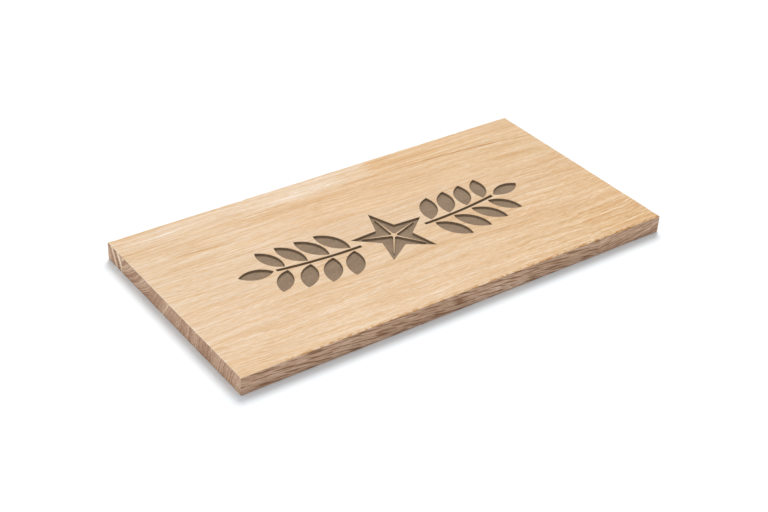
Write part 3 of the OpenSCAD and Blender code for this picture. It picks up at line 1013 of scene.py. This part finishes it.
def stained():
    """The walls of the engraving: oak darkened by the cutter and the stain."""
    t = Tree("oak_engraved_wall")
    n = t.noise(t.stretch(1.6, 1.6, 0.5, 3), 3, 0.6)
    n2 = t.noise(t.stretch(12, 0.6, 0.6, 8), 2, 0.5)
    colour = t.mix(t.ramp(n, 0.3, 0.7), (0.255, 0.172, 0.108), (0.385, 0.265, 0.172))
    colour = t.mix(t.mul(t.ramp(n2, 0.45, 0.65), 0.6), colour, (0.30, 0.198, 0.122))
    colour = t.mix(t.ramp(t.z, 11.0, 11.5), colour, (0.46, 0.32, 0.21))
    t.bump(n2, 0.00005)
    return t.finish(colour, t.ramp(n, 0.3, 0.7, 0.55, 0.7), 0.3)


def filling():
    """Flat dark-brown filling with a fine grain pressed into it."""
    t = Tree("fill_brown")
    g = t.noise(t.stretch(1.7, 0.55, 0.6, 12), 3, 0.6)
    b = t.noise(t.stretch(16, 5, 5, 14), 2, 0.5)
    f = t.noise(t.stretch(0.5, 0.35, 0.4, 16), 2, 0.5)
    colour = t.mix(t.ramp(b, 0.3, 0.7), tuple(q * g for q, g in zip(lin((160, 135, 111)), (0.816, 0.772, 0.70))), tuple(q * g for q, g in zip(lin((150, 125, 101)), (0.816, 0.772, 0.70))))
    colour = t.mix(t.ramp(g, 0.40, 0.62), colour, t.mix(1.0, colour, (0.84, 0.82, 0.80), "MULTIPLY"))
    colour = t.mix(t.ramp(f, 0.35, 0.70), colour, t.mix(1.0, colour, (1.08, 1.08, 1.08), "MULTIPLY"))
    t.bump(t.add(t.mul(g, 0.7), t.mul(f, 0.3)), 0.00018)
    return t.finish(colour, t.ramp(g, 0.3, 0.7, 0.55, 0.72), 0.3)


def inner_oak():
    """Sawn oak inside the pockets and the glued joints."""
    t = Tree("oak_sawn")
    n = t.noise(t.stretch(20, 1.2, 1.2, 5), 3, 0.6)
    m = t.noise(t.stretch(0.6, 3, 0.4, 6), 2, 0.5)
    colour = t.mix(t.ramp(n, 0.3, 0.7), (0.60, 0.42, 0.26), (0.46, 0.31, 0.19))
    colour = t.mix(t.mul(t.ramp(m, 0.5, 0.65), 0.4), colour, (0.38, 0.25, 0.15))
    t.bump(n, 0.00008)
    return t.finish(colour, t.ramp(n, 0.3, 0.7, 0.65, 0.8), 0.25)


def steel(name, tone, rough, seed):
    """Zinc-plated steel: a faint brushed grain under a soft mottle."""
    t = Tree(name)
    brush = t.noise(t.stretch(9, 0.12, 0.5, seed), 3, 0.6)
    mottle = t.noise(t.stretch(5, 5, 5, seed + 3), 3, 0.6)
    colour = t.mix(t.ramp(mottle, 0.3, 0.7), tuple(c * 0.86 for c in tone), tone)
    colour = t.mix(t.mul(t.ramp(brush, 0.4, 0.7), 0.35), colour, tuple(c * 0.74 for c in tone))
    t.bump(brush, 0.00002)
    return t.finish(colour, t.add(t.ramp(mottle, 0.3, 0.7, rough, rough + 0.1), t.mul(brush, 0.08)), 0.5, 1.0)


def pale_floor():
    t = Tree("studio_floor")
    n = t.noise(t.stretch(90, 90, 90, 1), 2)
    colour = t.mix(t.ramp(n, 0.3, 0.7), (0.945, 0.945, 0.945), (0.955, 0.955, 0.955))
    return t.finish(colour, 0.9, 0.1)


RECESS, INNER, FILL, FLOOR = stained(), inner_oak(), filling(), pale_floor()
STEEL, SCREW = steel("zinc_plate", (0.62, 0.63, 0.65), 0.34, 2.0), steel("zinc_screw", (0.56, 0.55, 0.52), 0.30, 9.0)
OAK = {name: [oak(name, "face"), oak(name, "side"), oak(name, "end"), RECESS, INNER] for name in STAVES}


for index, name in enumerate(STAVES):
    verts, faces, slots, smooth = make_stave(index)
    ob = new_mesh(name + "_oak", verts, faces, slots, smooth, OAK[name])
    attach(ob, "root")
    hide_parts(name)

# ------------------------------------------------------------------ the dark filling at the foot of the engraving


def make_fill():
    pts = [tuple(p) for p in OUT_P]
    edges = [(int(a), int(b)) for a, b in OUT_E]
    for r in rings((0.2, 0.5), 1):
        add_points(pts, r)
    v, tris, orig = cdt(pts, edges)
    tris = tris[in_ornament(v[tris].mean(1))]
    d = distance_to(v)
    g = np.random.default_rng(7)
    height = Z_FILL + 0.13 * np.exp(-d / 0.3) + g.normal(size=len(v)) * 0.012
    verts = [(p[0] * MM, p[1] * MM, z * MM) for p, z in zip(v, height)] + [(p[0] * MM, p[1] * MM, Z_FLOOR * MM) for p in v]
    n = len(v)
    faces, slots, smooth = [], [], []
    edge = directed(tris)
    for t in tris:
        a, b, c = map(int, t)
        faces += [[a, b, c], [c + n, b + n, a + n]]
        slots += [0, 0]
        smooth += [True, False]
    for a, b in edge:
        if (b, a) not in edge:
            faces.append([b, a, a + n, b + n])
            slots.append(0)
            smooth.append(True)
    return verts, faces, slots, smooth


verts, faces, slots, smooth = make_fill()
used = sorted({q for f in faces for q in f})
index = {u: k for k, u in enumerate(used)}
ob = new_mesh("engraving_fill_dark", [verts[u] for u in used], [[index[q] for q in f] for f in faces], slots, smooth, [FILL])
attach(ob, "root")
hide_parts("engraving_fill")

# ------------------------------------------------------------------ hanger plates and their screws


def stack(layers, faces, verts, cap_first=True, cap_last=True):
    """Joins rings of equal count, given as (points, z), from the first to the last; no caps here."""
    n = len(layers[0][0])
    first = len(verts)
    for pts, z in layers:
        zs = z if hasattr(z, "__len__") else [z] * n
        verts += [(p[0] * MM, p[1] * MM, q * MM) for p, q in zip(pts, zs)]
    for k in range(len(layers) - 1):
        for j in range(n):
            a, b = first + k * n + j, first + k * n + (j + 1) % n
            faces.append([a, b, b + n, a + n])
    return first, first + (len(layers) - 1) * n


def grid_cap(loops, extra=()):
    """Triangles between an outer loop and holes: each loop is points with their vertex numbers."""
    pts, edges, ids = [], [], []
    for loop, first in loops:
        start = len(pts)
        pts += [tuple(p) for p in loop]
        ids += [first + k for k in range(len(loop))]
        edges += loop_edges(start, len(loop))
    v, tris, orig = cdt(pts, edges)
    back = {k: ids[o[0]] for k, o in enumerate(orig) if len(o)}
    centres = v[tris].mean(1)
    keep = inside(np.array(loops[0][0]), centres)
    for loop, first in loops[1:]:
        keep &= ~inside(np.array(loop), centres)
    return [[back[int(q)] for q in t] for t in tris[keep]]


def make_plate(cx, cy):
    verts, faces = [], []
    bevel = 0.14
    at = lambda pts: [(x + cx, y + cy) for x, y in pts]
    lo_loops, hi_loops = [], []
    zs = [(bevel, Z_P0), (bevel * 0.3, Z_P0 + bevel * 0.3), (0, Z_P0 + bevel), (0, Z_P1 - bevel), (bevel * 0.3, Z_P1 - bevel * 0.3), (bevel, Z_P1)]
    rings_out = [(at(plate_outline(-i)), z) for i, z in zs]
    a, b = stack(rings_out, faces, verts)
    lo_loops.append((rings_out[0][0], a))
    hi_loops.append((rings_out[-1][0], b))
    rings_key = [(at(keyhole_outline(i)), z) for i, z in zs]
    a, b = stack(rings_key, faces, verts)
    lo_loops.append((rings_key[0][0], a))
    hi_loops.append((rings_key[-1][0], b))
    for s in (-1, 1):
        cone = [(HEAD_R + 0.08, Z_P0), (HEAD_R - 0.04, Z_P0 + 0.1), (1.56, Z_P1 - 0.12), (1.5, Z_P1)]
        rs = [(at(circle_outline(s * SCREW_X, 0, r, 32)), z) for r, z in cone]
        a, b = stack(rs, faces, verts)
        lo_loops.append((rs[0][0], a))
        hi_loops.append((rs[-1][0], b))
    faces += grid_cap(lo_loops) + grid_cap(hi_loops)
    return verts, faces


def make_screw(x, y, spin):
    verts, faces = [], []
    n = 32
    core, tip = 0.9, Z_P0 + 8.0
    prof = [(HEAD_R - 0.1, Z_P0 + 0.02), (HEAD_R - 0.02, Z_P0 + 0.1), (1.55, Z_P1 - 0.1), (SHANK_R, Z_P1 + 0.15)]
    z = Z_P1 + 0.7
    prof.append((core, z))
    while z < tip - 1.6:
        prof += [(core, z + 0.2), (SHANK_R, z + 0.5), (core, z + 0.8)]
        z += 1.0
    prof += [(core * 0.85, tip - 1.2), (core * 0.45, tip - 0.5), (0.12, tip - 0.03)]
    layers = [(circle_outline(x, y, r, n), q) for r, q in prof]
    a, b = stack(layers, faces, verts)
    verts.append((x * MM, y * MM, tip * MM))
    t = len(verts) - 1
    faces += [[b + k, b + (k + 1) % n, t] for k in range(n)]
    w, l, d = 0.34, 1.5, 0.9

    def cross(w, l):
        q = [(l, -w), (l, w), (w, w), (w, l), (-w, l), (-w, w), (-l, w), (-l, -w), (-w, -w), (-w, -l), (w, -l), (w, -w)]
        return [tuple(p) for p in turn(q, spin, (x, y))]

    ca, cb = stack([(cross(w + 0.05, l + 0.06), Z_P0 + 0.02), (cross(w, l), Z_P0 + 0.08), (cross(w * 0.75, l * 0.55), Z_P0 + d)], faces, verts)
    faces += grid_cap([(layers[0][0], a), (cross(w + 0.05, l + 0.06), ca)])
    faces += grid_cap([(cross(w * 0.75, l * 0.55), cb)])
    return verts, faces


for side, (cx, cy) in zip(("left", "right"), PLATE_C):
    verts, faces = make_plate(cx, cy)
    ob = new_mesh("hanger_plate_" + side + "_steel", verts, faces, [0] * len(faces), [True] * len(faces), [STEEL], 28)
    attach(ob, "root")
    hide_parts("hanger_plate_" + side)
    for end, s, spin in (("outer", -1 if side == "left" else 1, 38), ("inner", 1 if side == "left" else -1, 71)):
        verts, faces = make_screw(cx + s * SCREW_X, cy, spin)
        ob = new_mesh("hanger_screw_" + side + "_" + end, verts, faces, [0] * len(faces), [True] * len(faces), [SCREW], 28)
        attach(ob, "root")
        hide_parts("hanger_screws")

# ------------------------------------------------------------------ floor, light and camera

floor_me = bpy.data.meshes.new("floor")
floor_me.from_pydata([(-6, -6, 0), (6, -6, 0), (6, 6, 0), (-6, 6, 0)], [], [(0, 1, 2, 3)])
floor_me.materials.append(FLOOR)
floor = bpy.data.objects.new("floor", floor_me)
bpy.context.scene.collection.objects.link(floor)


def area(name, at, to, size, watts, colour=(1, 1, 1), size_y=None):
    data = bpy.data.lights.new(name, "AREA")
    data.energy = watts
    data.color = colour
    data.shape = "RECTANGLE"
    data.size = size
    data.size_y = size_y or size
    ob = bpy.data.objects.new(name, data)
    d = (Vector(to) - Vector(at)).normalized()
    ob.matrix_world = Matrix.Translation(Vector(at)) @ d.to_track_quat("-Z", "Y").to_matrix().to_4x4()
    bpy.context.scene.collection.objects.link(ob)
    return ob


key_data = bpy.data.lights.new("key", "SUN")  # one large, far softbox, behind and to the right
key_data.energy = 1.80
key_data.angle = math.radians(27)
key_data.color = (1.0, 0.985, 0.965)
KEY = bpy.data.objects.new("key", key_data)
KEY.matrix_world = Matrix.Translation((1.15, 1.45, 2.65)) @ Vector((-1.15, -1.45, -2.65)).to_track_quat("-Z", "Y").to_matrix().to_4x4()
bpy.context.scene.collection.objects.link(KEY)
OVERHEAD = area("overhead", (0.0, 0.35, 1.6), (0, 0.05, 0), 2.6, 9.2, (0.88, 0.955, 1), 1.8)
LEFT = area("left", (-1.5, -0.3, 0.75), (0, 0, 0), 0.9, 1.9, (0.93, 0.975, 1.0))

world = bpy.data.worlds.new("studio")
world.use_nodes = True
wt = world.node_tree
bg = wt.nodes["Background"]
bg.inputs[0].default_value = (0.86, 0.94, 1.0, 1)
bg.inputs[1].default_value = 0.475
white = wt.nodes.new("ShaderNodeBackground")  # the studio's white backdrop, as it is seen
white.inputs[0].default_value = (0.845, 0.87, 0.88, 1)
path, both = wt.nodes.new("ShaderNodeLightPath"), wt.nodes.new("ShaderNodeMixShader")
wt.links.new(path.outputs["Is Camera Ray"], both.inputs[0])
wt.links.new(bg.outputs[0], both.inputs[1])
wt.links.new(white.outputs[0], both.inputs[2])
wt.links.new(both.outputs[0], wt.nodes["World Output"].inputs["Surface"])
bpy.context.scene.world = world

cam_data = bpy.data.cameras.new("camera")
cam_data.sensor_width = 36
cam_data.sensor_fit = "HORIZONTAL"
cam_data.lens = 66.6508871521705
cam_data.clip_start = 0.01
cam_data.clip_end = 50
cam = bpy.data.objects.new("camera", cam_data)
R0 = (0.8112771933903031, -0.582895231318203, 0.045414367674244505)
R1 = (-0.2909202735257048, -0.46983911582938914, -0.8334366200788077)
R2 = (0.5071436778039158, 0.6629361617404472, -0.5507457993669689)
LOC = (-0.4407540908057269, -0.5695430024723289, 0.46686053404653205)
m = Matrix.Identity(4)
for r in range(3):
    m[r][0], m[r][1], m[r][2], m[r][3] = R0[r], -R1[r], -R2[r], LOC[r]
cam.matrix_world = m
bpy.context.scene.collection.objects.link(cam)
bpy.context.scene.camera = cam
bpy.context.scene.view_settings.view_transform = "Standard"
